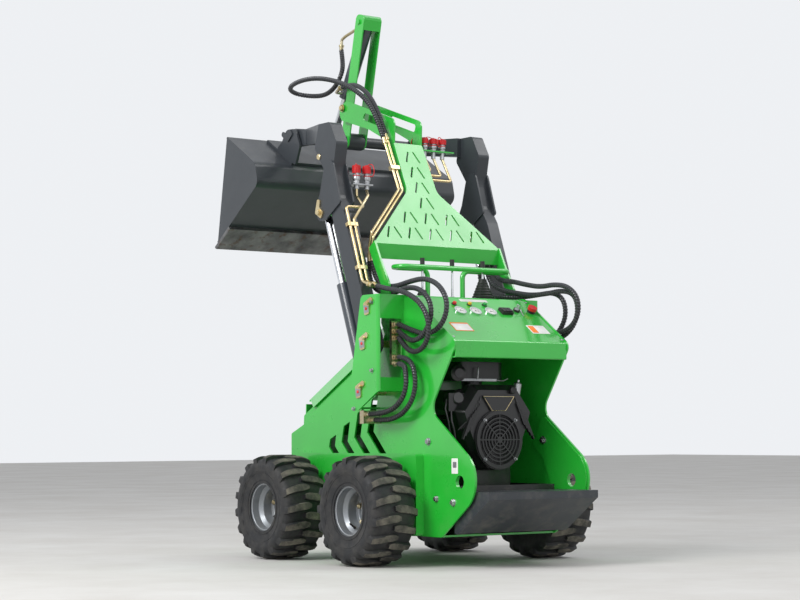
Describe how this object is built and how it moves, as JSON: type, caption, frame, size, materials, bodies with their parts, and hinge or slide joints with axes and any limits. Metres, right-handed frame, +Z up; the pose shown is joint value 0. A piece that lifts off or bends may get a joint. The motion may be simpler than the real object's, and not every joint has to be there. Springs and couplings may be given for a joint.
{
  "type": "stand-on mini skid steer loader",
  "caption": "Wheeled stand-on mini skid steer loader with raised lift arms, tilting bucket, rear stand platform and exposed engine.",
  "frame": {"origin": "on the ground, centre of the whole machine's bounding box", "axes": "+X machine left, -Y front (bucket end), +Z up"},
  "size_m": [1.1724, 1.6772, 2.4749],
  "materials": {
    "bare_steel": "satin",
    "black_parts": "satin",
    "black_plastic": "matte",
    "charcoal_paint": "satin",
    "chrome_rod": "polished",
    "cylinder_slate": "gloss",
    "gold_zinc": "satin",
    "green_paint": "gloss",
    "hose_rubber": "matte",
    "plated_fittings": "satin",
    "rim_silver": "satin",
    "tyre_rubber": "matte",
    "worn_steel": "satin"
  },
  "bodies": {
    "chassis": {"air_cleaner": "black_parts", "blower_housing": "black_parts", "bulkhead": "green_paint", "console": "green_paint", "control_levers": "black_plastic", "drive_cases": "green_paint", "engine_block": "black_parts", "engine_tray": "black_parts", "fan_guard": "black_parts", "floor_and_nose": "green_paint", "grab_bar": "green_paint", "hood": "green_paint", "hose_left_1": "hose_rubber", "hose_left_2": "hose_rubber", "hose_left_3": "hose_rubber", "hose_lower_1": "hose_rubber", "hose_lower_2": "hose_rubber", "hose_ports": "plated_fittings", "hose_right_1": "hose_rubber", "hose_right_2": "hose_rubber", "hose_right_3": "hose_rubber", "instruments": "black_plastic", "side_plates": "green_paint", "stand_platform": "charcoal_paint", "tower_pins": "gold_zinc", "towers": "green_paint"},
    "lift_arm": {"arm_cross_tube": "charcoal_paint", "arm_eye_pins": "gold_zinc", "arm_lines": "plated_fittings", "lift_arm_left": "charcoal_paint", "lift_arm_right": "charcoal_paint"},
    "upper_link": {"hose_tilt_base": "hose_rubber", "hose_tilt_rod": "hose_rubber", "link_frame": "green_paint", "link_lines": "plated_fittings", "link_tip": "green_paint"},
    "lever": {"tilt_lever": "green_paint"},
    "bucket": {"bucket": "charcoal_paint", "cutting_edge": "worn_steel", "hitch": "charcoal_paint"},
    "tilt_barrel": {"tilt_barrel": "cylinder_slate", "tilt_ports": "plated_fittings"},
    "tilt_rod": {"tilt_rod": "chrome_rod"},
    "lift_barrel_left": {"lift_barrel_left": "cylinder_slate"},
    "lift_rod_left": {"lift_rod_left": "chrome_rod"},
    "lift_barrel_right": {"lift_barrel_right": "cylinder_slate"},
    "lift_rod_right": {"lift_rod_right": "chrome_rod"},
    "wheel_front_left": {"hub_front_left": "bare_steel", "rim_front_left": "rim_silver", "tyre_front_left": "tyre_rubber"},
    "wheel_front_right": {"hub_front_right": "bare_steel", "rim_front_right": "rim_silver", "tyre_front_right": "tyre_rubber"},
    "wheel_rear_left": {"hub_rear_left": "bare_steel", "rim_rear_left": "rim_silver", "tyre_rear_left": "tyre_rubber"},
    "wheel_rear_right": {"hub_rear_right": "bare_steel", "rim_rear_right": "rim_silver", "tyre_rear_right": "tyre_rubber"}
  },
  "joints": [
    {"name": "lift", "type": "hinge", "parent": "chassis", "child": "lift_arm", "pos_m": [0, 0.163, 0.927], "axis": [-1, 0, 0], "range_deg": [-92, 4], "deforming": ["hose_left_3"]},
    {"name": "link_swing", "type": "hinge", "parent": "chassis", "child": "upper_link", "pos_m": [0, 0.196, 1.073], "axis": [-1, 0, 0], "range_deg": [-92.5, 4.5], "deforming": ["hose_left_1", "hose_left_2", "hose_right_1", "hose_right_2", "hose_right_3"]},
    {"name": "lever_level", "type": "hinge", "parent": "upper_link", "child": "lever", "pos_m": [0, -0.502, 2.048], "axis": [-1, 0, 0], "range_deg": [-4.5, 92.5], "deforming": ["hose_tilt_base", "hose_tilt_rod"]},
    {"name": "bucket_tilt", "type": "hinge", "parent": "lever", "child": "bucket", "pos_m": [0, -0.535, 1.902], "axis": [-1, 0, 0], "range_deg": [-9, 68]},
    {"name": "tilt_barrel_swing", "type": "hinge", "parent": "lever", "child": "tilt_barrel", "pos_m": [0, -0.413, 2.44], "axis": [-1, 0, 0], "range_deg": [-6.19, 1.25]},
    {"name": "tilt_rod_slide", "type": "slide", "parent": "tilt_barrel", "child": "tilt_rod", "axis": [0, -0.4945, -0.8692], "range_m": [-0.1887, 0.0267]},
    {"name": "lift_barrel_left_swing", "type": "hinge", "parent": "chassis", "child": "lift_barrel_left", "pos_m": [0.393, 0.134, 0.724], "axis": [-1, 0, 0], "range_deg": [-84.77, 4.16]},
    {"name": "lift_rod_left_slide", "type": "slide", "parent": "lift_barrel_left", "child": "lift_rod_left", "axis": [0, -0.3579, 0.9338], "range_m": [-0.282, 0.0142]},
    {"name": "lift_barrel_right_swing", "type": "hinge", "parent": "chassis", "child": "lift_barrel_right", "pos_m": [-0.393, 0.134, 0.724], "axis": [-1, 0, 0], "range_deg": [-84.77, 4.16]},
    {"name": "lift_rod_right_slide", "type": "slide", "parent": "lift_barrel_right", "child": "lift_rod_right", "axis": [0, -0.3579, 0.9338], "range_m": [-0.282, 0.0142]},
    {"name": "wheel_front_left_turn", "type": "hinge", "parent": "chassis", "child": "wheel_front_left", "pos_m": [0.4765, -0.4155, 0.2285], "axis": [1, 0, 0], "continuous": true},
    {"name": "wheel_front_right_turn", "type": "hinge", "parent": "chassis", "child": "wheel_front_right", "pos_m": [-0.4765, -0.4155, 0.2285], "axis": [1, 0, 0], "continuous": true},
    {"name": "wheel_rear_left_turn", "type": "hinge", "parent": "chassis", "child": "wheel_rear_left", "pos_m": [0.4765, 0.2455, 0.2285], "axis": [1, 0, 0], "continuous": true},
    {"name": "wheel_rear_right_turn", "type": "hinge", "parent": "chassis", "child": "wheel_rear_right", "pos_m": [-0.4765, 0.2455, 0.2285], "axis": [1, 0, 0], "continuous": true}
  ],
  "couplings": [
    {"joint": "link_swing", "follows": "lift", "ratio": 1},
    {"joint": "lever_level", "follows": "lift", "ratio": -1},
    {"joint": "tilt_barrel_swing", "follows": "bucket_tilt", "ratio": -0.0836},
    {"joint": "tilt_rod_slide", "follows": "bucket_tilt", "m_per_rad": -0.15734},
    {"joint": "lift_barrel_left_swing", "follows": "lift", "ratio": 0.916},
    {"joint": "lift_rod_left_slide", "follows": "lift", "m_per_rad": 0.17436},
    {"joint": "lift_barrel_right_swing", "follows": "lift", "ratio": 0.916},
    {"joint": "lift_rod_right_slide", "follows": "lift", "m_per_rad": 0.17436}
  ]
}
